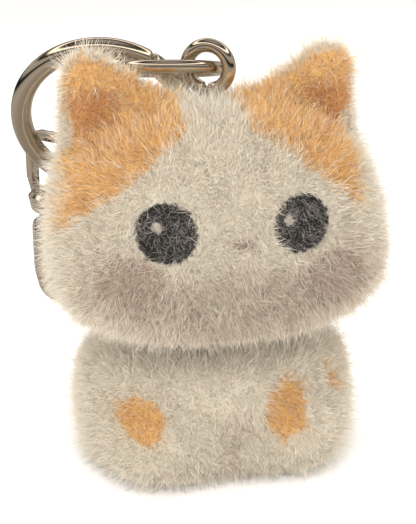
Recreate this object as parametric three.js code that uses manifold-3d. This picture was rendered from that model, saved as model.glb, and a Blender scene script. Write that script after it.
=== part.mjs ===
// A keychain with a flocked sitting-cat figure, a screw eye, a short chain and a swivel clasp.
// Millimetres, +Z up, the face looks along -Y, and the origin is the centre of the flat underside.
import * as THREE from 'three';
import { mergeVertices } from 'three/addons/utils/BufferGeometryUtils.js';
import Module from 'manifold-3d';

const wasm = await Module();
wasm.setup();

// ---- driving dimensions ----
const flockThickness = 0.75;      // room left round the bare skin for the glued fibres
const glueGap = 0.3;              // between pieces that are glued, pressed or screwed together
const runningGap = 0.3;           // between pieces that turn on each other
const pinGap = 0.15;              // round the small trigger pin

const headWidth = 34.4;
const headDepth = 24.6;
const headForward = 1;            // middle of the head, in front of the neck
const headHeight = 26;            // of the whole egg, before its underside is cut flat
const headCutShare = 0.81;        // of the egg's height that is left above the cut
const headSquareness = 2.35;
const headWall = 1.8;
const headFloorWall = 1.5;
const chinRounding = 1.6;
const earTipOut = 13.1;
const earTipBack = 2;
const earTipRise = 3.2;           // middle of the ear tip, over the crown
const earTipRadius = 2.3;
const earRootRadius = 3.5;
const earInnerRootOut = 0.42;     // share of the way out to the tip
const earInnerRootDrop = 2.6;     // under the crown
const earOuterRootOut = 0.94;     // share of the way out to the tip
const earOuterRootDrop = 9;       // under the crown
const earHollowRadius = 2.3;
const earHollowShrink = 0.62;     // of each corner toward the middle of the ear
const earHollowRise = 1.2;
const earHollowEdge = 1.2;        // rounding of the hollow's rim
const earBlend = 3;               // rounding where the ear meets the head
const cheekBulge = 0.2;
const cheekOut = 0.62;            // share of the half width
const cheekForward = 0.12;        // share of the half depth
const cheekDrop = 0.2;            // share of the half height
const cheekDepthShare = 0.72;
const cheekHeightShare = 0.52;
const cheekBlend = 2;

const bodyWidth = 29.8;
const bodyDepth = 22;
const bodyHeight = 13.9;
const bodySquareness = 2.4;       // of its outline seen from above
const bodyUprightness = 4.5;      // of its outline seen from the front
const bodyWall = 1.7;
const baseRounding = 3.3;
const bodyMiddleShare = 0.35;     // of its height, to where it is widest
const bodyBack = 0.4;             // middle of the body, behind the neck
const pawRadius = 6;
const pawSpread = 6.9;
const pawForward = 0.8;           // share of its radius that the paw is set in from the front
const pawRise = 0.75;             // share of its radius, to the middle of the paw
const pawSlimness = 0.95;         // depth and height over width
const pawSquareness = 2.2;
const pawBlend = 0.9;
const bellyRadius = 5;
const bellyForward = 0.85;        // share of its radius that the belly is set in from the front
const bellyRise = 0.68;           // share of the body's height
const bellyWidthShare = 1.3;
const bellyHeightShare = 0.8;
const bellyBlend = 1.6;

const neckPegRadius = 4.4;
const neckPegBore = 2.6;
const neckFlangeRadius = 6.1;
const neckFlangeThickness = 1.2;
const flangeLift = 0.4;           // from the head's floor inside to the flange
const flangeSeatDepth = 0.15;
const baseHoleRadius = 8;
const basePlugThickness = 1.5;
const basePlugRib = 1.3;           // width and height of the rib that stiffens it

const eyeWire = 1.5;
const eyeOuter = 6.2;
const eyeBack = 2.4;              // from the middle of the head to the screw eye
const eyeRise = 3.4;              // middle of the loop over the crown
const eyeTurn = 25;               // degrees that the loop is turned on its shank
const shankRadius = 0.7;
const shankLength = 8.5;
const anchorRadius = 2.7;
const anchorLength = 4.6;
const threadPitch = 1.05;
const threadStart = 0.5;          // plain point under the thread
const threadRoot = 0.72;          // share of the shank's radius
const plainShank = 0.8;           // share of the shank's radius, over the thread
const plainShankLength = 0.9;

const linkWire = 1.4;
const linkRoom = 5.3;             // inside the link, past two widths of the key ring's wire
const linkHeading = 134.4;        // degrees from +X, seen from above
const linkFall = 8;               // degrees down, along its heading
const linkSideFall = 12;          // degrees down, to the right of its heading
const keyRingWire = 2.4;
const keyRingOuter = 21.2;
const keyRingGrip = 66;           // degrees round the key ring to where the link holds it
const claspGrip = 228;            // degrees round the key ring to where the clasp hangs
const keyRingLean = 22.5;         // degrees that the key ring's top leans to the front
const splitWidth = 0.25;
const linkSplit = 185;            // degrees round the link to its split
const keyRingSplit = 300;         // degrees round the key ring to its split
const linkSlack = 0.5;            // from the middle of the screw eye's wire circle
const linkPullGaps = 1.5;         // running gaps between the link and the key ring
const chainTurn = -13;            // degrees, the heading of the chain's left-right line

const claspLoopWidth = 8.4;
const claspLoopRim = 1;
const claspLoopThickness = 1.2;
const claspLoopCorner = 2.1;
const claspLoopFoot = 1.2;        // from the bell up to where the loop's sides are full width
const claspLoopTaper = 0.7;       // that the foot is narrower on each side
const claspLoopTurn = 38;
const wireSlant = 1.48;           // height over width of the wire that slants through the loop
const bellTopRadius = 3.2;
const bellBottomRadius = 2.9;
const bellHeight = 2.4;
const bellShoulder = 0.5;
const rivetRadius = 0.7;
const rivetHeadRadius = 1.15;
const rivetHeadRoom = 1.2;
const rivetDepth = 2.2;           // into the hook
const rivetHeadRim = 0.4;
const rivetHeadRise = 0.85;
const hookThickness = 3.2;
const hookHoleWidth = 5.4;
const hookHoleHeight = 6.9;
const hookHoleLeft = -1.3;        // from the swivel's axis
const hookSpine = 1.5;
const hookNeckHeight = 2.8;
const hookNeckRadius = 1.9;
const hookShoulder = 0.9;
const hookInnerBend = 2.2;
const hookOuterBend = 3;
const mouthRise = 1.6;            // tip of the hook over the bottom of its hole
const mouthDrop = 0.2;            // top of the mouth under the top of the hole
const mouthLip = 0.9;
const triggerThickness = 1;
const triggerWidth = 1.4;
const triggerEye = 0.78;          // radius of its round end
const thumbOut = 1.5;
const thumbHeight = 2.6;
const triggerPinRadius = 0.35;
const triggerPinIn = 0.35;        // from the right of the hole
const triggerPinRise = 0.95;      // over the mouth
const slotWidth = 4.2;
const slotHeight = 2.9;
const slotOut = 0.9;              // middle of the slot, from the pin
const slotRise = 0.75;            // middle of the slot, over the mouth
const springWire = 0.24;
const springTurns = 2;
const springStepsPerTurn = 12;

const roundSides = 32;
const wireSides = 9;
const smallSides = 16;
const bellSides = 28;
const headCell = 1.53;
const bodyCell = 1.9;
const cavityCell = 2.6;
const gridMargin = 5;             // of the grids past the skins
const headGridDrop = 3.3;         // of the head's grid under its floor
const cavityMargin = 3;           // of the cavities' grids past their tops
const cavityRounding = 1;
const facetRoom = 0.4;            // kept in the walls for the coarser facets of the cavities
const cutterReach = 3;            // of a cutter past the wall that it cuts
const edgeBreak = 0.35;

// ---- sizes that follow ----
const headFloor = bodyHeight + 2 * flockThickness + 0.4;
const headMiddle = headFloor + (headCutShare * headHeight) / 2;
const crown = headMiddle + headHeight / 2;

// ---- geometry helpers ----
const vec = (x, y, z) => new THREE.Vector3(x, y, z);
const radians = THREE.MathUtils.degToRad;

function solidOf(geometry) {
  const bare = geometry.clone();
  bare.deleteAttribute('normal');
  bare.deleteAttribute('uv');
  const merged = mergeVertices(bare, 1e-4);
  const vertProperties = new Float32Array(merged.attributes.position.array);
  const triVerts = new Uint32Array(merged.index.array);
  return new wasm.Manifold(new wasm.Mesh({ numProp: 3, vertProperties, triVerts }));
}

function geometryOf(solid) {
  const mesh = solid.getMesh();
  const geometry = new THREE.BufferGeometry();
  const points = new Float32Array(mesh.vertProperties);
  geometry.setAttribute('position', new THREE.BufferAttribute(points, 3));
  geometry.setIndex(new THREE.BufferAttribute(new Uint32Array(mesh.triVerts), 1));
  return geometry;
}

function cut(body, ...tools) {
  return geometryOf(tools.reduce((left, tool) => left.subtract(solidOf(tool)), solidOf(body)));
}

function join(body, ...others) {
  return geometryOf(others.reduce((whole, other) => whole.add(solidOf(other)), solidOf(body)));
}

function upright(radius, bottom, top, x = 0, y = 0, sides = roundSides) {
  const cylinder = new THREE.CylinderGeometry(radius, radius, top - bottom, sides);
  cylinder.rotateX(Math.PI / 2);
  cylinder.translate(x, y, (bottom + top) / 2);
  return cylinder;
}

function turned(profile, sides = roundSides) {
  const lathe = new THREE.LatheGeometry(profile.map(([r, z]) => new THREE.Vector2(r, z)), sides);
  lathe.rotateX(Math.PI / 2);
  return lathe;
}

function smoothMin(a, b, blend) {
  const h = Math.max(blend - Math.abs(a - b), 0) / blend;
  return Math.min(a, b) - (h * h * blend) / 4;
}

const smoothMax = (a, b, blend) => -smoothMin(-a, -b, blend);

// Distance from p to an egg whose outline has a power between an ellipse's and a box's.
function eggDistance(p, middle, half, power) {
  const q = p.clone().sub(middle);
  const sum = Math.abs(q.x / half.x) ** power + Math.abs(q.y / half.y) ** power
    + Math.abs(q.z / half.z) ** power;
  const size = Math.max(sum ** (1 / power), 1e-6);
  return q.length() * (1 - 1 / size);
}

function slopeOf(distance, p) {
  const step = 0.02;
  const along = (axis) => distance(p.clone().addScaledVector(axis, step))
    - distance(p.clone().addScaledVector(axis, -step));
  return vec(along(vec(1, 0, 0)), along(vec(0, 1, 0)), along(vec(0, 0, 1))).divideScalar(2 * step);
}

// The closed surface where distance(p) is nought, as one vertex in each grid cell that it crosses.
function skinOf(distance, low, high, cell) {
  const count = high.clone().sub(low).divideScalar(cell).ceil();
  const [nx, ny, nz] = [count.x + 1, count.y + 1, count.z + 1];
  const at = (i, j, k) => (k * ny + j) * nx + i;
  const place = (i, j, k) => vec(low.x + i * cell, low.y + j * cell, low.z + k * cell);
  const field = new Float64Array(nx * ny * nz);
  for (let k = 0; k < nz; k += 1) {
    for (let j = 0; j < ny; j += 1) {
      for (let i = 0; i < nx; i += 1) field[at(i, j, k)] = distance(place(i, j, k));
    }
  }
  const points = [];
  const pointIn = new Map();
  const corners = [0, 1, 2, 3, 4, 5, 6, 7].map((n) => [n & 1, (n >> 1) & 1, (n >> 2) & 1]);
  for (let k = 0; k < nz - 1; k += 1) {
    for (let j = 0; j < ny - 1; j += 1) {
      for (let i = 0; i < nx - 1; i += 1) {
        const sum = vec(0, 0, 0);
        let crossings = 0;
        for (const a of corners) {
          for (let axis = 0; axis < 3; axis += 1) {
            if (a[axis]) continue;
            const b = [...a];
            b[axis] = 1;
            const from = field[at(i + a[0], j + a[1], k + a[2])];
            const to = field[at(i + b[0], j + b[1], k + b[2])];
            if (from < 0 === to < 0) continue;
            const start = place(i + a[0], j + a[1], k + a[2]);
            sum.add(start.lerp(place(i + b[0], j + b[1], k + b[2]), from / (from - to)));
            crossings += 1;
          }
        }
        if (!crossings) continue;
        const p = sum.divideScalar(crossings);
        for (let pass = 0; pass < 3; pass += 1) {
          const slope = slopeOf(distance, p);
          p.addScaledVector(slope, -distance(p) / Math.max(slope.lengthSq(), 0.2));
        }
        p.clamp(place(i, j, k), place(i + 1, j + 1, k + 1));
        pointIn.set(at(i, j, k), points.length);
        points.push(p);
      }
    }
  }
  const faces = [];
  const addQuad = (a, b, c, d) => {
    const short = points[a].distanceTo(points[c]) < points[b].distanceTo(points[d]);
    faces.push(...(short ? [a, b, c, a, c, d] : [b, c, d, b, d, a]));
  };
  const steps = [[1, 0, 0], [0, 1, 0], [0, 0, 1]];
  for (let k = 1; k < nz - 1; k += 1) {
    for (let j = 1; j < ny - 1; j += 1) {
      for (let i = 1; i < nx - 1; i += 1) {
        const inside = field[at(i, j, k)] < 0;
        for (let axis = 0; axis < 3; axis += 1) {
          const [di, dj, dk] = steps[axis];
          if (inside === field[at(i + di, j + dj, k + dk)] < 0) continue;
          const [ui, uj, uk] = steps[(axis + 1) % 3];
          const [vi, vj, vk] = steps[(axis + 2) % 3];
          const ring = [
            at(i, j, k),
            at(i - ui, j - uj, k - uk),
            at(i - ui - vi, j - uj - vj, k - uk - vk),
            at(i - vi, j - vj, k - vk),
          ].map((key) => pointIn.get(key));
          addQuad(...(inside ? ring : ring.reverse()));
        }
      }
    }
  }
  const geometry = new THREE.BufferGeometry().setFromPoints(points);
  geometry.setIndex(faces);
  return geometry;
}

// A wire ring lying in the plane across normal, with a fine split at the angle given.
function wireRing(outer, wire, middle, normal, splitAngle = null) {
  let ring = new THREE.TorusGeometry((outer - wire) / 2, wire / 2, wireSides, roundSides);
  if (splitAngle !== null) {
    const gap = new THREE.BoxGeometry(2 * wire, splitWidth, 2 * wire);
    gap.translate((outer - wire) / 2, 0, 0);
    gap.rotateZ(splitAngle);
    ring = cut(ring, gap);
  }
  ring.applyQuaternion(new THREE.Quaternion().setFromUnitVectors(vec(0, 0, 1), normal));
  ring.translate(middle.x, middle.y, middle.z);
  return ring;
}

function plate(shape, thickness) {
  const flat = new THREE.ExtrudeGeometry(shape, {
    depth: thickness, bevelEnabled: false, curveSegments: 8,
  });
  flat.translate(0, 0, -thickness / 2);
  flat.rotateX(Math.PI / 2);
  return flat;
}

function acrossY(radius, length, x, z, sides = smallSides) {
  const rod = new THREE.CylinderGeometry(radius, radius, length, sides);
  rod.translate(x, 0, z);
  return rod;
}

// ---- materials ----
const paint = (color, roughness, metalness) => new THREE.MeshStandardMaterial({
  color, roughness, metalness,
});
const flockedVinyl = () => paint('#efe6d6', 0.9, 0);
const plastic = () => paint('#d8d2c4', 0.5, 0);
const nickel = () => paint('#c9c4bb', 0.16, 1);
const springSteel = () => paint('#8f8f92', 0.3, 1);

const keychain = new THREE.Group();

function addNode(name, geometry, material, group = keychain) {
  const mesh = new THREE.Mesh(geometry, material);
  mesh.name = name;
  group.add(mesh);
  return mesh;
}

// ---- head ----
const headCentre = vec(0, -headForward, headMiddle);
const headHalf = vec(headWidth / 2, headDepth / 2, headHeight / 2);

const earTip = vec(earTipOut, earTipBack, crown + earTipRise);
const earInnerRoot = vec(
  earTipOut * earInnerRootOut, earTipBack * earInnerRootOut, crown - earInnerRootDrop,
);
const earOuterRoot = vec(
  earTipOut * earOuterRootOut, earTipBack * earOuterRootOut, crown - earOuterRootDrop,
);
const earPlate = new THREE.Triangle(earTip, earInnerRoot, earOuterRoot);
const hollowForward = vec(0.3, -earRootRadius - 0.2, earHollowRise);
const earMiddle = earTip.clone().add(earInnerRoot).add(earOuterRoot).divideScalar(3);
const hollowCorner = (root) => root.clone().lerp(earMiddle, earHollowShrink).add(hollowForward);
const earHollow = new THREE.Triangle(
  hollowCorner(earTip), hollowCorner(earInnerRoot), hollowCorner(earOuterRoot),
);

function plateDistance(triangle, p, tipRadius, rootRadius) {
  const nearest = vec(0, 0, 0);
  triangle.closestPointToPoint(p, nearest);
  const top = triangle.a.z;
  const bottom = Math.min(triangle.b.z, triangle.c.z);
  const share = (top - nearest.z) / (top - bottom);
  return p.distanceTo(nearest) - THREE.MathUtils.lerp(tipRadius, rootRadius, share);
}

function skullDistance(p) {
  const egg = eggDistance(p, headCentre, headHalf, headSquareness);
  const side = vec(Math.abs(p.x), p.y, p.z);
  const cheekMiddle = vec(
    headHalf.x * cheekOut,
    -headForward - headHalf.y * cheekForward,
    headMiddle - headHalf.z * cheekDrop,
  );
  const cheekHalf = vec(
    headHalf.x * (1 - cheekOut) + cheekBulge,
    headHalf.y * cheekDepthShare,
    headHalf.z * cheekHeightShare,
  );
  const cheeks = eggDistance(side, cheekMiddle, cheekHalf, 2);
  return smoothMin(egg, cheeks, cheekBlend);
}

function headDistance(p) {
  const side = vec(Math.abs(p.x), p.y, p.z);
  const ear = plateDistance(earPlate, side, earTipRadius, earRootRadius);
  const hollow = plateDistance(earHollow, side, earHollowRadius, earHollowRadius);
  const eared = smoothMin(skullDistance(p), smoothMax(ear, -hollow, earHollowEdge), earBlend);
  return smoothMax(eared, headFloor - p.z, chinRounding);
}

const headReach = vec(headHalf.x + gridMargin, headHalf.y + gridMargin, 0);
const headLow = vec(-headReach.x, -headReach.y, headFloor - headGridDrop);
const headHigh = vec(headReach.x, headReach.y, earTip.z + gridMargin);
const headSkin = skinOf(headDistance, headLow, headHigh, headCell);
const headFloorInside = headFloor + headFloorWall;
const headCavity = skinOf(
  (p) => smoothMax(skullDistance(p) + headWall + facetRoom, headFloorInside - p.z, chinRounding),
  headLow,
  vec(headReach.x, headReach.y, crown + cavityMargin),
  cavityCell,
);
const headNeckHole = neckPegRadius + runningGap;
const eyeHoleRadius = shankRadius + glueGap;
const flangeTop = headFloorInside + flangeLift + neckFlangeThickness;
const neckCutter = upright(headNeckHole, headFloor - cutterReach, headFloorInside + cutterReach);
const flangeSeat = headFloorInside - flangeSeatDepth;
const flangeCutter = upright(neckFlangeRadius + runningGap, flangeSeat, flangeTop + runningGap);
const eyeCutter = upright(
  eyeHoleRadius, crown - 2 * cutterReach, crown + cutterReach, 0, eyeBack, smallSides,
);
addNode('head_shell', cut(headSkin, headCavity, neckCutter, flangeCutter, eyeCutter), flockedVinyl());

// ---- body ----
const bodyMiddle = bodyHeight * bodyMiddleShare;
const bodyHalf = vec(bodyWidth / 2, bodyDepth / 2, bodyHeight - bodyMiddle);

function bodyDistance(p) {
  const round = (Math.abs(p.x / bodyHalf.x) ** bodySquareness
    + Math.abs((p.y - bodyBack) / bodyHalf.y) ** bodySquareness) ** (1 / bodySquareness);
  const height = Math.abs((p.z - bodyMiddle) / bodyHalf.z);
  const size = (round ** bodyUprightness + height ** bodyUprightness) ** (1 / bodyUprightness);
  const barrel = vec(p.x, p.y, p.z - bodyMiddle).length() * (1 - 1 / Math.max(size, 1e-6));
  const side = vec(Math.abs(p.x), p.y, p.z);
  const pawMiddle = vec(pawSpread, -bodyHalf.y + pawRadius * pawForward, pawRadius * pawRise);
  const pawHalf = vec(pawRadius, pawRadius * pawSlimness, pawRadius * pawSlimness);
  const paws = eggDistance(side, pawMiddle, pawHalf, pawSquareness);
  const bellyMiddle = vec(0, -bodyHalf.y + bellyRadius * bellyForward, bodyHeight * bellyRise);
  const bellyHalf = vec(bellyRadius * bellyWidthShare, bellyRadius, bellyRadius * bellyHeightShare);
  const belly = eggDistance(p, bellyMiddle, bellyHalf, 2);
  const front = smoothMin(smoothMin(barrel, belly, bellyBlend), paws, pawBlend);
  return smoothMax(front, -p.z, baseRounding);
}

const bodyReach = vec(bodyHalf.x + gridMargin, bodyHalf.y + gridMargin, 0);
const bodyLow = vec(-bodyReach.x, -bodyReach.y, -gridMargin);
const bodyHigh = vec(bodyReach.x, bodyReach.y, bodyHeight + gridMargin);
const bodySkin = skinOf(bodyDistance, bodyLow, bodyHigh, bodyCell);
const bodyCavity = skinOf(
  (p) => smoothMax(bodyDistance(p) + bodyWall + facetRoom, bodyWall - p.z, cavityRounding),
  bodyLow,
  vec(bodyReach.x, bodyReach.y, bodyHeight + cavityMargin),
  cavityCell,
);
const belowGround = new THREE.BoxGeometry(2 * bodyWidth, 2 * bodyWidth, 2 * gridMargin)
  .translate(0, 0, -gridMargin);
const pegTop = headFloorInside + flangeLift - glueGap;
const neckPeg = upright(neckPegRadius, bodyHeight - bodyWall / 2, pegTop);
const bodyShell = cut(
  join(bodySkin, neckPeg),
  bodyCavity,
  belowGround,
  upright(neckPegBore, bodyHeight - bodyWall - cutterReach, pegTop + cutterReach),
  upright(baseHoleRadius, -cutterReach, bodyWall + cutterReach / 2),
);
addNode('body_shell', bodyShell, flockedVinyl());

const plugRadius = baseHoleRadius - glueGap;
const plugRibOuter = plugRadius - basePlugRib;
const plugRibInner = plugRibOuter - basePlugRib;
const basePlugTop = basePlugThickness + basePlugRib;
const basePlug = turned([
  [0, 0], [plugRadius - edgeBreak, 0], [plugRadius, edgeBreak], [plugRadius, basePlugThickness],
  [plugRibOuter, basePlugThickness], [plugRibOuter, basePlugTop],
  [plugRibInner, basePlugTop], [plugRibInner, basePlugThickness],
  [0, basePlugThickness],
]);
addNode('base_plug', basePlug, plastic());

const flangeBottom = headFloorInside + flangeLift;
const stemRadius = neckPegBore - glueGap;
const stemBottom = bodyHeight - 2 * bodyWall;
const neckPlug = turned([
  [0, stemBottom], [stemRadius - edgeBreak, stemBottom], [stemRadius, stemBottom + edgeBreak],
  [stemRadius, flangeBottom], [neckFlangeRadius, flangeBottom],
  [neckFlangeRadius, flangeTop - edgeBreak],
  [neckFlangeRadius - edgeBreak, flangeTop],
  [0, flangeTop],
]);
addNode('neck_plug', neckPlug, plastic());

// ---- screw eye and its anchor ----
const eyeCentre = vec(0, eyeBack, crown + eyeRise);
const eyeNormal = vec(Math.sin(radians(eyeTurn)), Math.cos(radians(eyeTurn)), 0);
const eyeLoop = wireRing(eyeOuter, eyeWire, vec(0, 0, 0), eyeNormal);
const shankTop = (eyeWire - eyeOuter) / 2;
const shankTip = shankTop - shankLength;
const threads = Math.floor((shankLength - 3 * plainShankLength) / threadPitch);
const shankProfile = [[0, shankTip], [shankRadius / 2, shankTip]];
for (let n = 0; n < threads; n += 1) {
  const z = shankTip + threadStart + n * threadPitch;
  shankProfile.push([shankRadius * threadRoot, z], [shankRadius, z + threadPitch / 2]);
}
const threadTop = shankTip + threadStart + threads * threadPitch;
shankProfile.push([shankRadius * plainShank, threadTop]);
shankProfile.push([shankRadius * plainShank, shankTop - plainShankLength]);
shankProfile.push([eyeWire / 2, shankTop], [0, shankTop]);
const screwEye = join(eyeLoop, turned(shankProfile, smallSides));
screwEye.translate(eyeCentre.x, eyeCentre.y, eyeCentre.z);
addNode('screw_eye', screwEye, nickel());

const roofHalf = headHalf.clone().addScalar(-headWall - facetRoom);
const anchorReach = (eyeBack + headForward + anchorRadius) / roofHalf.y;
const roof = headMiddle + roofHalf.z * (1 - anchorReach ** headSquareness) ** (1 / headSquareness);
const anchorTop = roof - glueGap;
const anchorBottom = anchorTop - anchorLength;
const eyeAnchor = cut(
  upright(anchorRadius, anchorBottom, anchorTop, 0, eyeBack, bellSides),
  upright(
    eyeHoleRadius, anchorBottom - cutterReach, anchorTop + cutterReach, 0, eyeBack, smallSides,
  ),
);
addNode('eye_anchor', eyeAnchor, plastic());

// ---- chain: a link and the key ring ----
const across = vec(Math.cos(radians(chainTurn)), Math.sin(radians(chainTurn)), 0);
const backward = vec(-across.y, across.x, 0);
const upward = vec(0, 0, 1);

const heading = radians(linkHeading);
const fall = radians(linkFall);
const linkRun = vec(
  Math.cos(heading) * Math.cos(fall), Math.sin(heading) * Math.cos(fall), -Math.sin(fall),
);
const linkSide = vec(Math.sin(heading), -Math.cos(heading), -Math.tan(radians(linkSideFall)));
const linkNormal = linkSide.clone().cross(linkRun).normalize();
const linkOuter = linkRoom + 2 * (linkWire + keyRingWire);
const linkRadius = (linkOuter - linkWire) / 2;
const linkNear = eyeCentre.clone().addScaledVector(across, linkSlack);
const linkCentre = linkNear.clone().addScaledVector(linkRun, linkRadius);
const linkFar = linkNear.clone().addScaledVector(linkRun, 2 * linkRadius);
const chainLink = wireRing(linkOuter, linkWire, linkCentre, linkNormal, radians(linkSplit));
addNode('chain_link', chainLink, nickel());

const ringRadius = (keyRingOuter - keyRingWire) / 2;
const lean = radians(keyRingLean);
const ringUp = upward.clone().multiplyScalar(Math.cos(lean))
  .addScaledVector(backward, -Math.sin(lean));
const ringNormal = across.clone().cross(ringUp).normalize();
const towardRing = (degrees) => across.clone().multiplyScalar(Math.cos(radians(degrees)))
  .addScaledVector(ringUp, Math.sin(radians(degrees)));
const linkPull = linkWire / 2 + keyRingWire / 2 + linkPullGaps * runningGap;
const ringCentre = linkFar.clone().addScaledVector(towardRing(keyRingGrip), linkPull - ringRadius);
const keyRing = wireRing(keyRingOuter, keyRingWire, ringCentre, ringNormal, radians(keyRingSplit));
addNode('key_ring', keyRing, nickel());

// ---- clasp ----
const claspTop = ringCentre.clone().addScaledVector(towardRing(claspGrip), ringRadius);

const claspUpper = new THREE.Group();
claspUpper.position.copy(claspTop);
claspUpper.rotation.z = radians(claspLoopTurn - 90);
keychain.add(claspUpper);

const claspLoopHang = (wireSlant * keyRingWire + claspLoopThickness) / 2 + 2 * runningGap;
const claspLoopHole = 2 * claspLoopHang;
const bellTop = claspLoopHang - claspLoopHole;
const bellBottom = bellTop - bellHeight;
const loopOutline = new THREE.Shape();
const loopHalf = claspLoopWidth / 2;
const loopTop = claspLoopHang + claspLoopRim;
const loopFoot = bellTop - claspLoopTaper;
loopOutline.moveTo(-loopHalf + claspLoopTaper, loopFoot);
loopOutline.lineTo(loopHalf - claspLoopTaper, loopFoot);
loopOutline.lineTo(loopHalf, bellTop + claspLoopFoot);
const cornerX = loopHalf - claspLoopCorner;
const cornerZ = loopTop - claspLoopCorner;
loopOutline.lineTo(loopHalf, cornerZ);
loopOutline.absarc(cornerX, cornerZ, claspLoopCorner, 0, Math.PI / 2);
loopOutline.lineTo(-cornerX, loopTop);
loopOutline.absarc(-cornerX, cornerZ, claspLoopCorner, Math.PI / 2, Math.PI);
loopOutline.lineTo(-loopHalf, bellTop + claspLoopFoot);
loopOutline.closePath();
const loopHole = new THREE.Path();
const holeHalf = loopHalf - claspLoopRim;
const holeCorner = claspLoopCorner - claspLoopRim;
loopHole.moveTo(-holeHalf, bellTop);
loopHole.lineTo(holeHalf, bellTop);
loopHole.lineTo(holeHalf, cornerZ);
loopHole.absarc(cornerX, cornerZ, holeCorner, 0, Math.PI / 2);
loopHole.lineTo(-cornerX, claspLoopHang);
loopHole.absarc(-cornerX, cornerZ, holeCorner, Math.PI / 2, Math.PI);
loopHole.closePath();
loopOutline.holes.push(loopHole);
const bell = turned([
  [0, bellBottom], [bellBottomRadius - edgeBreak, bellBottom],
  [bellBottomRadius, bellBottom + edgeBreak], [bellTopRadius, bellTop - bellShoulder],
  [bellTopRadius - bellShoulder, bellTop], [0, bellTop],
], bellSides);
const claspEye = cut(
  join(plate(loopOutline, claspLoopThickness), bell),
  upright(
    rivetRadius + runningGap, bellBottom - bellShoulder, bellTop + bellShoulder, 0, 0, smallSides,
  ),
  upright(
    rivetHeadRadius + runningGap, bellTop - rivetHeadRoom, bellTop + bellShoulder, 0, 0, smallSides,
  ),
);
addNode('clasp_eye', claspEye, nickel(), claspUpper);

const claspLower = new THREE.Group();
claspLower.position.copy(claspTop);
keychain.add(claspLower);

const hookTop = bellBottom - runningGap;
const holeLeft = hookHoleLeft;
const holeRight = holeLeft + hookHoleWidth;
const holeHigh = hookTop - hookNeckHeight;
const holeLow = holeHigh - hookHoleHeight;
const outerLeft = holeLeft - hookSpine;
const outerRight = holeRight + triggerWidth + runningGap;
const outerLow = holeLow - hookSpine;
const mouthHigh = holeHigh - mouthDrop;
const mouthLow = holeLow + mouthRise;
const holeMiddle = (holeLeft + holeRight) / 2;
const shoulderZ = hookTop - hookShoulder;
const bendTop = shoulderZ - mouthRise;

function hookOutline() {
  const shape = new THREE.Shape();
  shape.moveTo(-hookNeckRadius, hookTop);
  shape.lineTo(hookNeckRadius, hookTop);
  shape.lineTo(hookNeckRadius + edgeBreak, shoulderZ);
  shape.quadraticCurveTo(outerRight, shoulderZ, outerRight, mouthHigh);
  shape.lineTo(holeRight - mouthLip, mouthHigh);
  shape.quadraticCurveTo(holeLeft, mouthHigh, holeLeft, mouthHigh - hookInnerBend);
  shape.lineTo(holeLeft, holeLow + hookInnerBend);
  shape.quadraticCurveTo(holeLeft, holeLow, holeMiddle, holeLow);
  shape.quadraticCurveTo(holeRight, holeLow, holeRight, mouthLow);
  shape.lineTo(outerRight, mouthLow);
  shape.quadraticCurveTo(outerRight, outerLow, holeMiddle, outerLow);
  shape.quadraticCurveTo(outerLeft, outerLow, outerLeft, holeLow + hookOuterBend);
  shape.lineTo(outerLeft, bendTop);
  shape.quadraticCurveTo(outerLeft, shoulderZ, -hookNeckRadius, shoulderZ);
  shape.closePath();
  return shape;
}

const pinX = holeRight + triggerPinIn;
const pinZ = mouthHigh + triggerPinRise;
const leverSlotWidth = triggerThickness + 4 * springWire + 2 * pinGap;
const leverSlot = new THREE.BoxGeometry(slotWidth, leverSlotWidth, slotHeight)
  .translate(pinX + slotOut, 0, mouthHigh + slotRise);
const rivetBottom = hookTop - rivetDepth;
const claspHook = cut(
  plate(hookOutline(), hookThickness),
  leverSlot,
  acrossY(triggerPinRadius + pinGap, 2 * hookThickness, pinX, pinZ),
  upright(rivetRadius + glueGap, rivetBottom - glueGap, hookTop + glueGap, 0, 0, smallSides),
);
addNode('clasp_hook', claspHook, nickel(), claspLower);

const rivetHeadBottom = bellTop - rivetHeadRoom + runningGap;
const rivet = turned([
  [0, rivetBottom], [rivetRadius * 0.8, rivetBottom], [rivetRadius, rivetBottom + edgeBreak],
  [rivetRadius, rivetHeadBottom], [rivetHeadRadius, rivetHeadBottom],
  [rivetHeadRadius, rivetHeadBottom + rivetHeadRim],
  [rivetHeadRadius * 0.6, rivetHeadBottom + rivetHeadRise * 0.9],
  [0, rivetHeadBottom + rivetHeadRise],
], smallSides);
addNode('swivel_rivet', rivet, nickel(), claspLower);

function leverOutline() {
  const shape = new THREE.Shape();
  const left = pinX - triggerEye;
  const right = left + triggerWidth;
  const bottom = mouthLow + runningGap;
  shape.moveTo(left, bottom);
  shape.lineTo(right, bottom);
  shape.lineTo(right, mouthHigh - thumbHeight);
  shape.quadraticCurveTo(
    right + thumbOut, mouthHigh - thumbHeight, right + thumbOut, mouthHigh - thumbHeight / 2,
  );
  shape.quadraticCurveTo(right + thumbOut, mouthHigh, right, mouthHigh);
  shape.absarc(pinX, pinZ, triggerEye, 0, Math.PI);
  shape.lineTo(left, mouthHigh);
  shape.closePath();
  return shape;
}

const leverOffset = -(leverSlotWidth - triggerThickness) / 2 + pinGap;
const lever = cut(
  plate(leverOutline(), triggerThickness),
  acrossY(triggerPinRadius + pinGap, 2 * triggerThickness, pinX, pinZ),
);
lever.translate(0, leverOffset, 0);
addNode('trigger_lever', lever, nickel(), claspLower);
const triggerPin = acrossY(triggerPinRadius, hookThickness + pinGap, pinX, pinZ);
addNode('trigger_pin', triggerPin, nickel(), claspLower);

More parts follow.
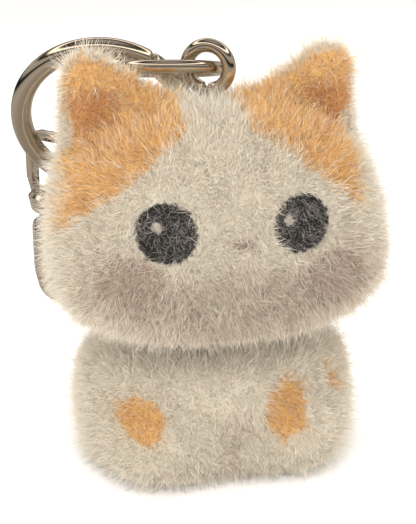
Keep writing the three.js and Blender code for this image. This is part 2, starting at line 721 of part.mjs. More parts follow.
const coilRadius = triggerPinRadius + pinGap + springWire / 2;
const coilStart = leverOffset + triggerThickness / 2 + pinGap + springWire / 2;
const coilPitch = 1.4 * springWire;
const coilPoints = [];
for (let n = 0; n <= springTurns * springStepsPerTurn; n += 1) {
  const angle = (2 * Math.PI * n) / springStepsPerTurn;
  const y = coilStart + (coilPitch * n) / springStepsPerTurn;
  coilPoints.push(vec(pinX + coilRadius * Math.cos(angle), y, pinZ + coilRadius * Math.sin(angle)));
}
const wireSection = new THREE.Shape();
wireSection.absarc(0, 0, springWire / 2, 0, 2 * Math.PI);
const spring = new THREE.ExtrudeGeometry(wireSection, {
  steps: springTurns * springStepsPerTurn,
  curveSegments: 3,
  bevelEnabled: false,
  extrudePath: new THREE.CatmullRomCurve3(coilPoints),
});
addNode('trigger_spring', spring, springSteel(), claspLower);

export default keychain;
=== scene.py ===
import math

import bmesh
import bpy
import numpy as np
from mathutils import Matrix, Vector
from mathutils.bvhtree import BVHTree


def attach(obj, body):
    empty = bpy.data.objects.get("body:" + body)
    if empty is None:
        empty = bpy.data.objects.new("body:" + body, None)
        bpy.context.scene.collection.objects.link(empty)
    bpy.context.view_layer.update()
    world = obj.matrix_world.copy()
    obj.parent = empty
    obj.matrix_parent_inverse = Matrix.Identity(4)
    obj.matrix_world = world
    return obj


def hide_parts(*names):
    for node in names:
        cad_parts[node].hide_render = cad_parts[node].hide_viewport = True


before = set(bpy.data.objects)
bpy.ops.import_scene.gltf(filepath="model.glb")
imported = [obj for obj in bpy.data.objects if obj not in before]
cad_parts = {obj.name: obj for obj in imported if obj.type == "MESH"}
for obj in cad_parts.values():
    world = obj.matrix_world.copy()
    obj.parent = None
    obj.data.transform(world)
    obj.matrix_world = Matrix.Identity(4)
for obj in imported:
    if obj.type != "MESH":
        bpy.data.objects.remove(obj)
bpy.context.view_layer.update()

# A flocked cat figure on a keychain. Lengths here are millimetres, and MM turns them into Blender's
# metres. The coat is made of closed, tapered fibres, each a small mesh of its own.
MM = 0.001
rng = np.random.default_rng(7)
RAGGED_HEAD_SEED, RAGGED_BODY_SEED, SWIRL_SEED, RAY_SEED = 21, 22, 31, 3

# ---- the coat ----
HEAD_FIBRES = 148000
BODY_FIBRES = 84000
FIBRES_IN_A_PIECE = 19000
FIBRE_LENGTH = 1.3
FIBRE_WIDTH = 0.04
GUARD_SHARE = 0.13          # of the fibres, that stand out over the rest
GUARD_LENGTH = 2.05         # times the others' length
ROOT_DEPTH = 0.08           # how far a fibre starts below the skin
NECK_LENGTH = 1.1           # the length of the fibres in the gap between the head and the body
HEAD_SOCKET_RADIUS = 6.5    # no fibres grow in the head's neck hole
BODY_PEG_RADIUS = 5.4       # nor on the body's neck peg
FLOOR_CLEARANCE = 0.01      # no fibre reaches below this

# ---- the face, as ellipses on the front of the head: x, height, half width, half height ----
EYES = {"eye_left": (-7.45, 29.35, 3.0, 3.05), "eye_right": (6.25, 29.55, 3.0, 2.95)}
HIGHLIGHTS = ((-8.35, 30.0, 0.5), (4.8, 30.1, 0.46))        # x, height, radius
NOSE = (0.1, 28.15, 1.3, 0.5)
MOUTH = (-0.1, 26.1, 0.32, 1.5)
BLUSHES = ((-11.0, 24.0, 5.0, 4.2), (10.0, 23.4, 5.0, 4.2))
# The lower face is drawn in a darker tint: partly a darker tone of the fur, partly painted shade
# that the light from above leaves under the face.
SHADED_MUZZLE = (0.0, 20.4, 15.0, 6.8)
EAR_HOLLOW = (12.5, 38.9, 3.5, 3.3)
PATCH_INNER_EDGE = 4.0
PATCH_LOWER_EDGE = 38.3     # height of an ear patch's lower edge at its inner end
PATCH_SLOPE = 0.55          # how fast that edge falls toward the outside
PATCH_BEND = 0.018          # and how much faster for each millimetre
PATCH_BACK = 1.3            # y of the patch's back edge
RIGHT_PATCH_IN = 1.7        # the right patch reaches that much nearer to the middle
LEFT_PATCH_OUT = 16.6
RIGHT_PATCH_OUT = 13.5
# On the front of the body: x, height, half width, half height, and for creases the strength of
# their painted shade. The creases get painted shade: a darker tint in the V between the paws and
# along the belly's lower edge.
CREASE_SHADES = ((0.0, 4.2, 0.8, 3.0, 0.9), (0.0, 7.2, 2.8, 1.0, 0.5))
BODY_SPOTS = ((-9.7, 8.0, 2.2, 2.2), (5.3, 8.2, 2.4, 3.1))
# On the right of the body: x, y, height, radius.
SIDE_SPOTS = ((11.3, -7.8, 11.7, 1.1), (11.8, -7.4, 9.5, 1.0))

# ---- the metal ----
EYE_OUTER = 6.2
EYE_WIRE = 1.5
THREAD_PITCH = 1.05
SPLIT_GAP = 0.12
KEY_RING_SPLIT = 300        # degrees round the ring to its split
LINK_SPLIT = 185
WIRE_SHARE = 0.99           # the round wire's size over the CAD ring's
NICKEL = (0.70, 0.61, 0.51)
SPRING_STEEL = (0.55, 0.55, 0.56)
CREAM_PLASTIC = (0.72, 0.67, 0.58)

# ---- the view ----
IMAGE_HEIGHT = 524
PIXEL = 0.11
CAMERA_AZIMUTH = -13
CAMERA_ELEVATION = 20
CAMERA_DISTANCE = 140
CAMERA_AIM = 21.6           # height of the point it looks at
CAMERA_SHIFT = -5           # pixels
FLOOR_REACH = 900
FLOOR_DROP = 0.02

# Tints of the coat's fibres, three to a zone, as linear colours.
TINTS = {
    "cream": ((0.81, 0.73, 0.605), (0.85, 0.775, 0.655), (0.77, 0.69, 0.565)),
    "orange": ((0.84, 0.505, 0.185), (0.88, 0.575, 0.25), (0.80, 0.445, 0.14)),
    "deep": ((0.73, 0.37, 0.135), (0.80, 0.45, 0.19), (0.65, 0.31, 0.10)),
    "blush": ((0.55, 0.425, 0.34), (0.61, 0.49, 0.40), (0.49, 0.37, 0.29)),
    # The darker tint of the lower face: partly the fur's own darker tone, partly painted shade; it
    # also paints the shade in the body's creases and draws the mouth.
    "muzzle_and_shade": ((0.66, 0.565, 0.455), (0.73, 0.64, 0.53), (0.59, 0.495, 0.39)),
    "nose": ((0.44, 0.33, 0.28), (0.52, 0.41, 0.35), (0.36, 0.27, 0.23)),
    "eye": ((0.012, 0.011, 0.011), (0.03, 0.028, 0.026), (0.02, 0.018, 0.017)),
    "web": ((0.42, 0.38, 0.34), (0.30, 0.275, 0.25), (0.52, 0.475, 0.425)),
    "spark": ((0.60, 0.54, 0.46), (0.68, 0.62, 0.53), (0.52, 0.46, 0.39)),
}
ZONES = list(TINTS)
SHADES = 3


# ---- small helpers ----
def unit(v):
    return v / np.maximum(np.linalg.norm(v, axis=-1, keepdims=True), 1e-9)


def smooth_step(low, high, value):
    t = np.clip((value - low) / (high - low), 0, 1)
    return t * t * (3 - 2 * t)


def ellipse(x, z, place):
    """0 at the middle of an ellipse (x, z, half width, half height) and 1 on its edge."""
    return np.hypot((x - place[0]) / place[2], (z - place[1]) / place[3])


def waves(points, scale, seed):
    """A smooth field between -1 and 1 made of a few plane waves."""
    draw = np.random.default_rng(seed)
    total = np.zeros(len(points))
    for _ in range(6):
        direction = unit(draw.normal(size=3))
        total += np.sin(points @ direction * (2 * math.pi / (scale * draw.uniform(0.7, 1.5)))
                        + draw.uniform(0, 2 * math.pi))
    return total / 3.5


def to_scene(name, data):
    obj = bpy.data.objects.new(name, data)
    bpy.context.scene.collection.objects.link(obj)
    return obj


def new_object(name, mesh, body):
    obj = to_scene(name, mesh)
    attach(obj, body)
    return obj


def read_vectors(mesh, what):
    """A vector of each vertex of a mesh, such as its place or its normal."""
    values = np.empty(len(mesh.vertices) * 3, np.float32)
    mesh.vertices.foreach_get(what, values)
    return values.reshape(-1, 3)


def mesh_from(name, vertices, faces, smooth=True):
    mesh = bpy.data.meshes.new(name)
    mesh.from_pydata(np.asarray(vertices) * MM, [], faces)
    mesh.validate()
    if smooth:
        mesh.shade_smooth()
    return mesh


def principled(name, base, roughness, **sockets):
    material = bpy.data.materials.new(name)
    material.use_nodes = True
    shader = material.node_tree.nodes["Principled BSDF"]
    shader.inputs["Base Color"].default_value = (*base, 1)
    shader.inputs["Roughness"].default_value = roughness
    for socket, value in sockets.items():
        shader.inputs[socket.replace("_", " ")].default_value = value
    return material, material.node_tree, shader


def add_bumps(tree, shader, scale, strength, height):
    """Fine noise that bumps a shader's surface. It returns the noise node."""
    noise = tree.nodes.new("ShaderNodeTexNoise")
    noise.inputs["Scale"].default_value = scale
    bump = tree.nodes.new("ShaderNodeBump")
    bump.inputs["Strength"].default_value = strength
    bump.inputs["Distance"].default_value = height * MM
    tree.links.new(noise.outputs["Fac"], bump.inputs["Height"])
    tree.links.new(bump.outputs["Normal"], shader.inputs["Normal"])
    return noise


# ---- skins: smooth outer surfaces of the moulded shells ----
def outer_faces(node):
    """The outside of a hollow CAD shell: the faces from which enough rays escape."""
    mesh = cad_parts[node].data
    bm = bmesh.new()
    bm.from_mesh(mesh)
    bmesh.ops.remove_doubles(bm, verts=bm.verts, dist=1e-7)
    tree = BVHTree.FromBMesh(bm)
    draw = np.random.default_rng(RAY_SEED)
    spread = [Vector(v) for v in unit(draw.normal(size=(24, 3)))]
    inside = []
    for face in bm.faces:
        start = face.calc_center_median() + face.normal * (0.02 * MM)
        escapes = 0
        for way in spread:
            ray = way if way.dot(face.normal) > 0 else -way
            if tree.ray_cast(start, (ray + face.normal * 0.35).normalized())[0] is None:
                escapes += 1
        if escapes < 5:
            inside.append(face)
    bmesh.ops.delete(bm, geom=inside, context="FACES")
    keep = max(islands(bm), key=len)
    bmesh.ops.delete(bm, geom=[f for f in bm.faces if f not in keep], context="FACES")
    return bm


def islands(bm):
    """The faces of each connected piece."""
    left, found = set(bm.faces), []
    while left:
        todo, group = [left.pop()], set()
        while todo:
            face = todo.pop()
            group.add(face)
            for edge in face.edges:
                for other in edge.link_faces:
                    if other in left:
                        left.discard(other)
                        todo.append(other)
        found.append(group)
    return found


def make_skin(name, node, body, zone_of):
    """The bare moulded skin under the coat, with the coat's zones painted on it."""
    bm = outer_faces(node)
    mesh = bpy.data.meshes.new(name)
    bm.to_mesh(mesh)
    bm.free()
    obj = new_object(name, mesh, body)
    subdivision = obj.modifiers.new("Fine", "SUBSURF")
    subdivision.levels = subdivision.render_levels = 2
    fine = bpy.data.meshes.new_from_object(obj.evaluated_get(bpy.context.evaluated_depsgraph_get()))
    obj.modifiers.clear()
    obj.data = fine
    fine.name = name
    fine.shade_smooth()
    places = read_vectors(fine, "co") / MM
    zones = zone_of(places, read_vectors(fine, "normal"), None)
    darker = 0.7
    palette = np.array([np.mean(TINTS[z], axis=0) for z in ZONES]) * darker
    colours = np.ones((len(places), 4), np.float32)
    colours[:, :3] = palette[zones]
    layer = fine.color_attributes.new("coat", "FLOAT_COLOR", "POINT")
    layer.data.foreach_set("color", colours.ravel())
    fine.materials.append(skin_material())
    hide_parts(node)
    return obj


def skin_material():
    if "skin" in bpy.data.materials:
        return bpy.data.materials["skin"]
    material, tree, shader = principled("skin", (0.6, 0.5, 0.4), 0.75)
    painted = tree.nodes.new("ShaderNodeVertexColor")
    painted.layer_name = "coat"
    tree.links.new(painted.outputs["Color"], shader.inputs["Base Color"])
    add_bumps(tree, shader, scale=2600, strength=0.3, height=0.08)
    return material


# ---- colour zones of the coat ----
def soft_pick(zones, name, chance, draw):
    """Puts fibres in a zone where chance beats a random draw, so that the zone's edge is ragged."""
    level = 0.5 if draw is None else draw
    zones[chance > level] = ZONES.index(name)


def patch_edge(x):
    """Height of the lower edge of an ear patch, at a distance x from the middle of the face."""
    out = x - PATCH_INNER_EDGE
    return PATCH_LOWER_EDGE - PATCH_SLOPE * out - PATCH_BEND * out * out


def head_zones(p, n, draw):
    x, y, z = p.T
    away = np.abs(x)
    ragged = waves(p, 3.5, RAGGED_HEAD_SEED) * 0.35
    zones = np.full(len(p), ZONES.index("cream"))
    front = y < 0
    # Painted shade, partly a darker fur tone: the lower front of the face takes the darker tint.
    muzzle_and_shade = smooth_step(1.15, 0.35, ellipse(x, z, SHADED_MUZZLE)) * (y < -3)
    soft_pick(zones, "muzzle_and_shade", muzzle_and_shade * 0.85, draw)
    for place in BLUSHES:
        blush = smooth_step(1.25, 0.3, ellipse(x, z, place)) * front
        soft_pick(zones, "blush", blush * 0.8, draw)
    inner = away + RIGHT_PATCH_IN * (x > 0)
    over_edge = z - patch_edge(inner) + ragged
    inward = inner - PATCH_INNER_EDGE + ragged
    crown = smooth_step(39.5, 37.5, z)
    facing = (PATCH_BACK - y - smooth_step(38.0, 41.0, z) * 0.3
              - crown * (0.05 * (away - 9.5) ** 2 - ragged * 2))
    right_out = RIGHT_PATCH_OUT + 1.5 * smooth_step(36, 39, z)
    left_out = LEFT_PATCH_OUT + 1.2 * smooth_step(36, 28, z)
    rim = np.where(x > 0, right_out, left_out) - away - crown * (0.02 * (y + 4) ** 2 - ragged)
    patch = smooth_step(-0.7, 0.7, np.minimum.reduce([over_edge, inward, facing, rim]))
    outward = smooth_step(0.0, -0.4, n[:, 1]) + smooth_step(42.2, 41.0, z) * (away < 15.5)
    patch = np.minimum(patch, outward) * (0.84 if draw is not None else 1)
    soft_pick(zones, "orange", patch, draw)
    hollow = smooth_step(1.2, 0.45, ellipse(away, z, EAR_HOLLOW)) * (patch > 0.5) * (n[:, 1] < -0.2)
    soft_pick(zones, "deep", hollow, draw)
    soft_pick(zones, "nose", smooth_step(1.35, 0.7, ellipse(x, z, NOSE)) * front * 0.75, draw)
    soft_pick(zones, "muzzle_and_shade", smooth_step(1.3, 0.5, ellipse(x, z, MOUTH)) * front * 0.5, draw)
    for place in EYES.values():
        edge = ellipse(x, z, place) + ragged * 0.08
        soft_pick(zones, "eye", smooth_step(1.04, 0.97, edge) * front, draw)
    for place in HIGHLIGHTS:
        edge = np.hypot(x - place[0], z - place[1]) / place[2]
        soft_pick(zones, "spark", smooth_step(1.25, 0.8, edge) * front, draw)
    return zones


def body_zones(p, n, draw):
    x, y, z = p.T
    ragged = waves(p, 2.5, RAGGED_BODY_SEED) * 0.12
    zones = np.full(len(p), ZONES.index("cream"))
    for place in BODY_SPOTS:
        edge = ellipse(x, z, place) + ragged
        soft_pick(zones, "orange", smooth_step(1.2, 0.75, edge) * (y < -2) * 0.88, draw)
        soft_pick(zones, "deep", smooth_step(0.9, 0.2, edge) * (y < -2) * 0.35, draw)
    # Painted shade: darker fibres in the V between the paws and under the belly's lower edge.
    for place in CREASE_SHADES:
        crease_shade = smooth_step(1.4, 0.3, ellipse(x, z, place))
        soft_pick(zones, "muzzle_and_shade", crease_shade * (y < -6) * place[4], draw)
    for place in SIDE_SPOTS:
        side = np.linalg.norm(p - place[:3], axis=1) / place[3] + ragged
        soft_pick(zones, "orange", smooth_step(1.4, 0.5, side) * 0.75, draw)
    return zones


# ---- fibres ----
def scattered(obj, count):
    """Points spread evenly over a mesh, with its smooth normals."""
    mesh = obj.data
    mesh.calc_loop_triangles()
    corners = np.empty(len(mesh.loop_triangles) * 3, np.int32)
    mesh.loop_triangles.foreach_get("vertices", corners)
    corners = corners.reshape(-1, 3)
    places = read_vectors(mesh, "co").astype(float) / MM
    normals = read_vectors(mesh, "normal").astype(float)
    a, b, c = (places[corners[:, i]] for i in range(3))
    area = np.linalg.norm(np.cross(b - a, c - a), axis=1)
    chosen = rng.choice(len(corners), size=count, p=area / area.sum())
    u, v = rng.random(count), rng.random(count)
    fold = u + v > 1
    u[fold], v[fold] = 1 - u[fold], 1 - v[fold]
    share = np.stack([1 - u - v, u, v], axis=1)[:, :, None]
    points = (places[corners[chosen]] * share).sum(axis=1)
    return points, unit((normals[corners[chosen]] * share).sum(axis=1))


def tangents(normals, angle):
    """Directions along the surface, turned by an angle."""
    helper = np.where(np.abs(normals[:, 2:3]) < 0.9, [[0, 0, 1.0]], [[1.0, 0, 0]])
    side = unit(np.cross(normals, helper))
    other = np.cross(normals, side)
    return side * np.cos(angle)[:, None] + other * np.sin(angle)[:, None]


def fibre_meshes(prefix, points, normals, zones, length, lean, body):
    """Closed three-sided fibres in two bent lengths, split into pieces of even size."""
    count = len(points)
    swirl = waves(points, 5.0, SWIRL_SEED) * math.pi + rng.normal(0, 1.1, count)
    flow = tangents(normals, swirl)
    first = unit(normals + flow * np.tan(lean)[:, None])
    turn = tangents(normals, swirl + rng.normal(0, 0.9, count))
    second = unit(first + turn * rng.uniform(0.03, 0.32, count)[:, None] - normals * 0.05)
    width = FIBRE_WIDTH * rng.uniform(0.65, 1.35, count)
    width[zones == ZONES.index("web")] *= 0.6
    width[length > 1.5 * FIBRE_LENGTH] *= 1.25
    root = points - normals * ROOT_DEPTH
    middle = root + first * (length * 0.5)[:, None]
    tip = middle + second * (length * 0.5)[:, None]
    side = tangents(first, rng.uniform(0, 2 * math.pi, count))
    other = np.cross(first, side)
    rings = []
    for centre, share in ((root, 0.5), (middle, 0.4)):
        for corner in range(3):
            angle = 2 * math.pi * corner / 3
            reach = side * math.cos(angle) + other * math.sin(angle)
            rings.append(centre + reach * (width * share)[:, None])
    vertices = np.stack([*rings, tip], axis=1)
    np.maximum(vertices[:, :, 2], FLOOR_CLEARANCE, out=vertices[:, :, 2])
    pattern = [(2, 1, 0)]
    for k in range(3):
        following = (k + 1) % 3
        pattern += [(k, following, following + 3), (k, following + 3, k + 3),
                    (k + 3, following + 3, 6)]
    pattern = np.array(pattern)
    shade = zones * SHADES + rng.integers(0, SHADES, count)
    order = rng.permutation(count)
    pieces = math.ceil(count / FIBRES_IN_A_PIECE)
    for number, part in enumerate(np.array_split(order, pieces), 1):
        faces = (pattern[None] + 7 * np.arange(len(part))[:, None, None]).reshape(-1, 3)
        name = f"{prefix}_{number}"
        mesh = mesh_from(name, vertices[part].reshape(-1, 3), faces)
        used, slots = np.unique(shade[part], return_inverse=True)
        for tint in used:
            mesh.materials.append(fibre_materials[tint])
        mesh.polygons.foreach_set("material_index", np.repeat(slots, len(pattern)).astype(np.int32))
        new_object(name, mesh, body)


def make_fibre_materials():
    made = []
    for zone in ZONES:
        for shade, tint in enumerate(TINTS[zone]):
            rough = 0.45 if zone == "eye" else 0.7
            material, _, shader = principled(f"fibre_{zone}_{shade}", tint, rough)
            shader.inputs["Specular IOR Level"].default_value = 0.3
            if zone != "eye":
                shader.inputs["Sheen Weight"].default_value = 0.25
                shader.inputs["Sheen Roughness"].default_value = 0.5
            made.append(material)
    return made


def coat_head(skin):
    points, normals = scattered(skin, HEAD_FIBRES)
    under = normals[:, 2] < -0.75
    socket = np.hypot(points[:, 0], points[:, 1]) < HEAD_SOCKET_RADIUS
    keep = ~(under & socket) & ~(under & (rng.random(len(points)) < 0.5))
    points, normals = points[keep], normals[keep]
    count = len(points)
    zones = head_zones(points, normals, rng.random(count))
    eye = zones == ZONES.index("eye")
    web = eye & (rng.random(count) < 0.42)
    zones[web] = ZONES.index("web")
    length = FIBRE_LENGTH * rng.uniform(0.7, 1.15, count)
    low = smooth_step(20.5, 17.0, points[:, 2])
    length *= 1 - low * (1 - NECK_LENGTH / FIBRE_LENGTH) * (normals[:, 2] < 0)
    chin = smooth_step(25.0, 20.0, points[:, 2]) * (points[:, 1] < -6) * (normals[:, 2] > -0.5)
    length *= 1 + 0.25 * chin
    length[zones == ZONES.index("deep")] *= 0.8
    length[eye & ~web] *= 0.42
    length[zones == ZONES.index("spark")] *= 0.6
    length[web] *= 0.85
    guard = ~eye & (rng.random(count) < GUARD_SHARE)
    length[guard] *= GUARD_LENGTH
    lean = np.radians(rng.uniform(4, 42, count))
    lean[web] = np.radians(rng.uniform(42, 64, web.sum()))
    fibre_meshes("head_flock", points, normals, zones, length, lean, "head")


def coat_body(skin):
    points, normals = scattered(skin, BODY_FIBRES)
    under = (normals[:, 2] < -0.8) & (points[:, 2] < 0.4)
    peg = np.hypot(points[:, 0], points[:, 1]) < BODY_PEG_RADIUS
    keep = ~under & ~(peg & (points[:, 2] > 10))
    points, normals = points[keep], normals[keep]
    count = len(points)
    zones = body_zones(points, normals, rng.random(count))
    length = FIBRE_LENGTH * rng.uniform(0.65, 1.1, count)
    high = smooth_step(11.0, 13.0, points[:, 2]) * (np.hypot(points[:, 0], points[:, 1]) < 9)
    length *= 1 - high * (1 - NECK_LENGTH / FIBRE_LENGTH)
    length[rng.random(count) < GUARD_SHARE] *= GUARD_LENGTH
    length *= 1 + 0.25 * smooth_step(3.0, 0.5, points[:, 2])
    lean = np.radians(rng.uniform(4, 42, count))
    fibre_meshes("body_flock", points, normals, zones, length, lean, "body")


# ---- bright metal ----
def metal_material(name, base, roughness, scratch):
    """Plated metal with fine polishing marks and a little unevenness in its gloss."""
    material, tree, shader = principled(name, base, roughness, Metallic=1.0)
    coords = tree.nodes.new("ShaderNodeTexCoord")
    fine = tree.nodes.new("ShaderNodeTexNoise")
    fine.inputs["Scale"].default_value = 900
    fine.inputs["Detail"].default_value = 4
    ramp = tree.nodes.new("ShaderNodeMapRange")
    ramp.inputs["To Min"].default_value = roughness * 0.7
    ramp.inputs["To Max"].default_value = roughness * 1.8
    dents = add_bumps(tree, shader, scale=420, strength=scratch, height=0.05)
    for texture in (fine, dents):
        tree.links.new(coords.outputs["Object"], texture.inputs["Vector"])
    tree.links.new(fine.outputs["Fac"], ramp.inputs["Value"])
    tree.links.new(ramp.outputs["Result"], shader.inputs["Roughness"])
    return material


def plastic_material():
    """Moulded plastic with a faint grain."""
    if "moulded_plastic" in bpy.data.materials:
        return bpy.data.materials["moulded_plastic"]
    material, tree, shader = principled("moulded_plastic", CREAM_PLASTIC, 0.5)
    add_bumps(tree, shader, scale=1500, strength=0.2, height=0.05)
    return material


def node_points(node):
    return read_vectors(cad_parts[node].data, "co").astype(float) / MM


def ring_of(points):
    """Middle, two axes, mid radius and wire radius of a ring's vertices.

    The first axis is the one nearest +X."""
    mean = points.mean(axis=0)
    normal = np.linalg.svd(points - mean, full_matrices=False)[2][2]
    normal *= 1 if normal @ [0, -0.2, 1] > 0 else -1
    flat = points - np.outer((points - mean) @ normal, normal)
    design = np.c_[2 * flat, np.ones(len(flat))]
    middle = np.linalg.lstsq(design, (flat ** 2).sum(axis=1), rcond=None)[0][:3]
    middle -= normal * ((middle - mean) @ normal)
    across = unit(np.array([1.0, 0, 0]) - normal * normal[0])
    along = np.cross(normal, across)
    reach = np.hypot((flat - middle) @ across, (flat - middle) @ along)
    low, high = reach.min(), reach.max()
    return middle, across, along, (high + low) / 2, (high - low) / 2


def tube(path, radii, sides):
    """A round wire along a path (n x 3), with a radius for each point and flat ends."""
    count = len(path)
    ahead = unit(np.gradient(path, axis=0))
    side = unit(np.cross(ahead[0], [0.31, 0.2, 0.93]))
    frames = []
    for way in ahead:
        side = unit(side - way * (side @ way))
        frames.append((side, np.cross(way, side)))
    vertices, faces = [], []
    for centre, (u, v), r in zip(path, frames, radii):
        for k in range(sides):
            angle = 2 * math.pi * k / sides
            vertices.append(centre + (u * math.cos(angle) + v * math.sin(angle)) * r)
    for i in range(count - 1):
        here, following = i * sides, (i + 1) * sides
        for k in range(sides):
            j = (k + 1) % sides
            faces.append((here + k, here + j, following + j, following + k))
    faces.append(tuple(range(sides - 1, -1, -1)))
    faces.append(tuple((count - 1) * sides + k for k in range(sides)))
    return vertices, faces


def rounded_ends(path, wire):
    """Radii along a path that shrink from the wire's radius close to both of its ends."""
    steps = np.r_[0, np.cumsum(np.linalg.norm(np.diff(path, axis=0), axis=1))]
    edge = np.minimum(steps, steps[-1] - steps)
    inset = np.clip(1 - edge / (0.35 * wire), 0, 1)
    return wire * np.sqrt(np.clip(1 - 0.35 * inset ** 2, 0, 1))


def make_split_ring(name, node, body, split_degrees):
    """A ring of round wire with a fine split, on the circle that the CAD ring keeps."""
    middle, across, along, radius, wire = ring_of(node_points(node))
    gap = SPLIT_GAP / radius
    start = math.radians(split_degrees)
    turns = np.linspace(start + gap / 2, start + 2 * math.pi - gap / 2, 150)
    near = np.linspace(0, 0.3 * wire / radius, 5)
    turns = np.unique(np.r_[turns, turns[0] + near, turns[-1] - near])
    path = middle + radius * (np.cos(turns)[:, None] * across + np.sin(turns)[:, None] * along)
    vertices, faces = tube(path, rounded_ends(path, wire * WIRE_SHARE), sides=28)
    obj = new_object(name, mesh_from(name, vertices, faces), body)
    obj.data.materials.append(metals["nickel"])
    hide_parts(node)


def make_screw_eye():
    """The eye: a threaded shank whose wire bends round into a loop that closes against it."""
    points = node_points("screw_eye")
    low, high = points.min(axis=0), points.max(axis=0)
    span = high[:2] - low[:2]
    across = unit(np.array([span[0], -span[1], 0.0]))
    middle = np.array([*(low[:2] + high[:2]) / 2, high[2] - EYE_OUTER / 2])
    radius = (EYE_OUTER - EYE_WIRE) / 2
    wire = WIRE_SHARE * EYE_WIRE / 2
    bottom = math.radians(-90)
    turns = np.linspace(bottom + 0.05, bottom + 2 * math.pi - 0.2, 90)
    circle = middle + radius * np.cos(turns)[:, None] * across
    circle[:, 2] += radius * np.sin(turns)
    vertices, faces = tube(circle, rounded_ends(circle, wire), sides=24)
    foot = middle[2] - radius
    heights = np.arange(low[2] + 0.2, foot + 0.3, 0.09)
    turn = (heights - heights[0]) / THREAD_PITCH
    threaded = 0.58 + 0.1 * np.abs((turn % 1) * 2 - 1)
    plain = heights > foot - 1.4
    threaded[plain] = np.interp(heights[plain], [foot - 1.4, foot], [0.6, 0.72])
    path = np.tile(middle, (len(heights), 1))
    path[:, 2] = heights
    more, more_faces = tube(path, threaded, sides=20)
    offset = len(vertices)
    faces += [tuple(k + offset for k in face) for face in more_faces]
    obj = new_object("screw_eye_wire", mesh_from("screw_eye_wire", vertices + more, faces), "head")
    obj.data.materials.append(metals["nickel"])
    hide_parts("screw_eye")


def rounded_copy(name, node, body, bevel, material):
    """A copy of a CAD piece with its edges rounded over, as plated castings have."""
    bm = bmesh.new()
    bm.from_mesh(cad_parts[node].data)
    bmesh.ops.remove_doubles(bm, verts=bm.verts, dist=1e-6)
    bmesh.ops.dissolve_limit(bm, angle_limit=math.radians(1.5), verts=bm.verts, edges=bm.edges)
    mesh = bpy.data.meshes.new(name)
    bm.to_mesh(mesh)
    bm.free()
    obj = new_object(name, mesh, body)
    rounding = obj.modifiers.new("Rounding", "BEVEL")
    rounding.width = bevel * MM
    rounding.segments = 3
    rounding.limit_method = "ANGLE"
    rounding.angle_limit = math.radians(32)
    rounding.use_clamp_overlap = True
    rounding.harden_normals = True
    mesh.shade_smooth()
    mesh.materials.append(material)
    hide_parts(node)


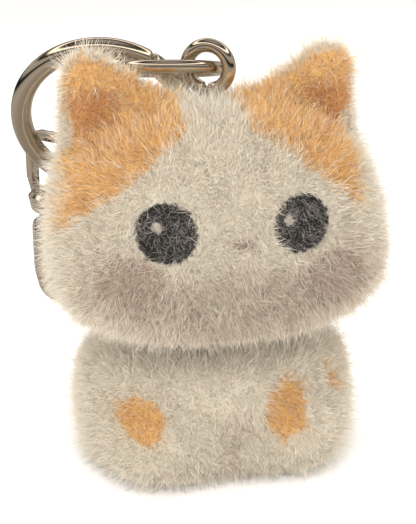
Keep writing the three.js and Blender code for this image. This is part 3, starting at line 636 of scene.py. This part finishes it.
# ---- stage ----
def make_stage():
    """A pale floor, four soft lamps, and a world that is white behind the object.

    Polished metal reflects a banded room in place of the white, the floor and the lamps."""
    world = bpy.data.worlds.new("studio")
    bpy.context.scene.world = world
    world.use_nodes = True
    tree = world.node_tree
    tree.nodes.clear()
    out = tree.nodes.new("ShaderNodeOutputWorld")
    paths = tree.nodes.new("ShaderNodeLightPath")
    soft = tree.nodes.new("ShaderNodeBackground")
    soft.inputs["Color"].default_value = (1.0, 0.985, 0.96, 1)
    soft.inputs["Strength"].default_value = 1.0
    room = tree.nodes.new("ShaderNodeBackground")
    coords = tree.nodes.new("ShaderNodeTexCoord")
    parts = tree.nodes.new("ShaderNodeSeparateXYZ")
    bands = tree.nodes.new("ShaderNodeValToRGB")
    scale = tree.nodes.new("ShaderNodeMapRange")
    scale.inputs["From Min"].default_value = -1
    stops = bands.color_ramp.elements
    stops[0].position, stops[0].color = 0.0, (0.30, 0.26, 0.21, 1)
    stops[1].position, stops[1].color = 1.0, (0.40, 0.38, 0.35, 1)
    for place, tone in ((0.30, 0.50), (0.43, 0.42), (0.47, 0.015), (0.54, 0.015),
                        (0.57, 0.42), (0.70, 0.50), (0.73, 0.02), (0.79, 0.02),
                        (0.81, 1.9), (0.86, 1.9), (0.885, 0.06), (0.93, 0.06)):
        stop = stops.new(place)
        stop.color = (tone, tone * 0.93, tone * 0.82, 1)
    tree.links.new(coords.outputs["Generated"], parts.inputs[0])
    tree.links.new(parts.outputs["Z"], scale.inputs["Value"])
    tree.links.new(scale.outputs["Result"], bands.inputs["Fac"])
    tree.links.new(bands.outputs["Color"], room.inputs["Color"])
    seen = tree.nodes.new("ShaderNodeBackground")
    seen.inputs["Color"].default_value = (1, 1, 1, 1)
    shiny = tree.nodes.new("ShaderNodeMixShader")
    direct = tree.nodes.new("ShaderNodeMixShader")
    tree.links.new(paths.outputs["Is Glossy Ray"], shiny.inputs["Fac"])
    tree.links.new(soft.outputs[0], shiny.inputs[1])
    tree.links.new(room.outputs[0], shiny.inputs[2])
    tree.links.new(paths.outputs["Is Camera Ray"], direct.inputs["Fac"])
    tree.links.new(shiny.outputs[0], direct.inputs[1])
    tree.links.new(seen.outputs[0], direct.inputs[2])
    tree.links.new(direct.outputs[0], out.inputs["Surface"])

    corners = [(x * FLOOR_REACH, y * FLOOR_REACH, -FLOOR_DROP)
               for x, y in ((-1, -1), (1, -1), (1, 1), (-1, 1))]
    floor_mesh = mesh_from("floor", corners, [(0, 1, 2, 3)], smooth=False)
    floor = to_scene("floor", floor_mesh)
    material, _, _ = principled("floor", (0.985, 0.983, 0.98), 0.8)
    floor_mesh.materials.append(material)
    floor.visible_glossy = False

    def lamp(name, place, aim, size, power, colour):
        data = bpy.data.lights.new(name, "AREA")
        data.shape = "RECTANGLE"
        data.size, data.size_y = size[0] * MM, size[1] * MM
        data.energy = power
        data.color = colour
        obj = to_scene(name, data)
        obj.location = Vector(place) * MM
        obj.visible_glossy = False
        obj.rotation_euler = (Vector(aim) - Vector(place)).to_track_quat("-Z", "Y").to_euler()

    lamp("top_box", (-30, -60, 220), (0, 0, 20), (220, 160), 0.2, (1.0, 0.985, 0.96))
    lamp("front_box", (-90, -230, 90), (0, 0, 22), (190, 140), 0.40, (1.0, 0.97, 0.93))
    lamp("side_box", (220, -40, 90), (0, 0, 22), (60, 160), 0.1, (1.0, 0.98, 0.95))
    lamp("back_box", (-60, 220, 130), (0, 0, 22), (200, 100), 0.18, (1.0, 0.99, 0.98))


def make_camera():
    azimuth, elevation = math.radians(CAMERA_AZIMUTH), math.radians(CAMERA_ELEVATION)
    target = Vector((0, 0, CAMERA_AIM)) * MM
    distance = CAMERA_DISTANCE * MM
    level = math.cos(elevation)
    back = Vector((math.sin(azimuth) * level, -math.cos(azimuth) * level, math.sin(elevation)))
    data = bpy.data.cameras.new("camera")
    data.sensor_width = 36
    data.sensor_fit = "AUTO"
    frame_height = PIXEL * IMAGE_HEIGHT * MM
    data.lens = data.sensor_width * distance / frame_height
    data.shift_x = CAMERA_SHIFT / IMAGE_HEIGHT
    data.clip_start = 5 * MM
    obj = to_scene("camera", data)
    obj.location = target + back * distance
    obj.rotation_euler = (-back).to_track_quat("-Z", "Y").to_euler()
    bpy.context.scene.camera = obj


bpy.context.scene.view_settings.view_transform = "Standard"
make_camera()
make_stage()
fibre_materials = make_fibre_materials()
metals = {
    "nickel": metal_material("nickel", NICKEL, 0.10, 0.08),
    "spring": metal_material("spring_wire", SPRING_STEEL, 0.25, 0.15),
}
plain_finishes = {
    "swivel_rivet": metals["nickel"],
    "trigger_pin": metals["nickel"],
    "trigger_spring": metals["spring"],
    "base_plug": plastic_material(),
    "neck_plug": plastic_material(),
    "eye_anchor": plastic_material(),
}
for node, finish in plain_finishes.items():
    for material_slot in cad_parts[node].material_slots:
        material_slot.material = finish
head_skin = make_skin("head_skin", "head_shell", "head", head_zones)
body_skin = make_skin("body_skin", "body_shell", "body", body_zones)
coat_head(head_skin)
coat_body(body_skin)
make_split_ring("key_ring_wire", "key_ring", "ring", KEY_RING_SPLIT)
make_split_ring("chain_link_wire", "chain_link", "link", LINK_SPLIT)
make_screw_eye()
rounded_copy("clasp_eye_cast", "clasp_eye", "clasp_loop", 0.3, metals["nickel"])
rounded_copy("clasp_hook_cast", "clasp_hook", "clasp", 0.55, metals["nickel"])
rounded_copy("trigger_lever_cast", "trigger_lever", "trigger", 0.2, metals["nickel"])
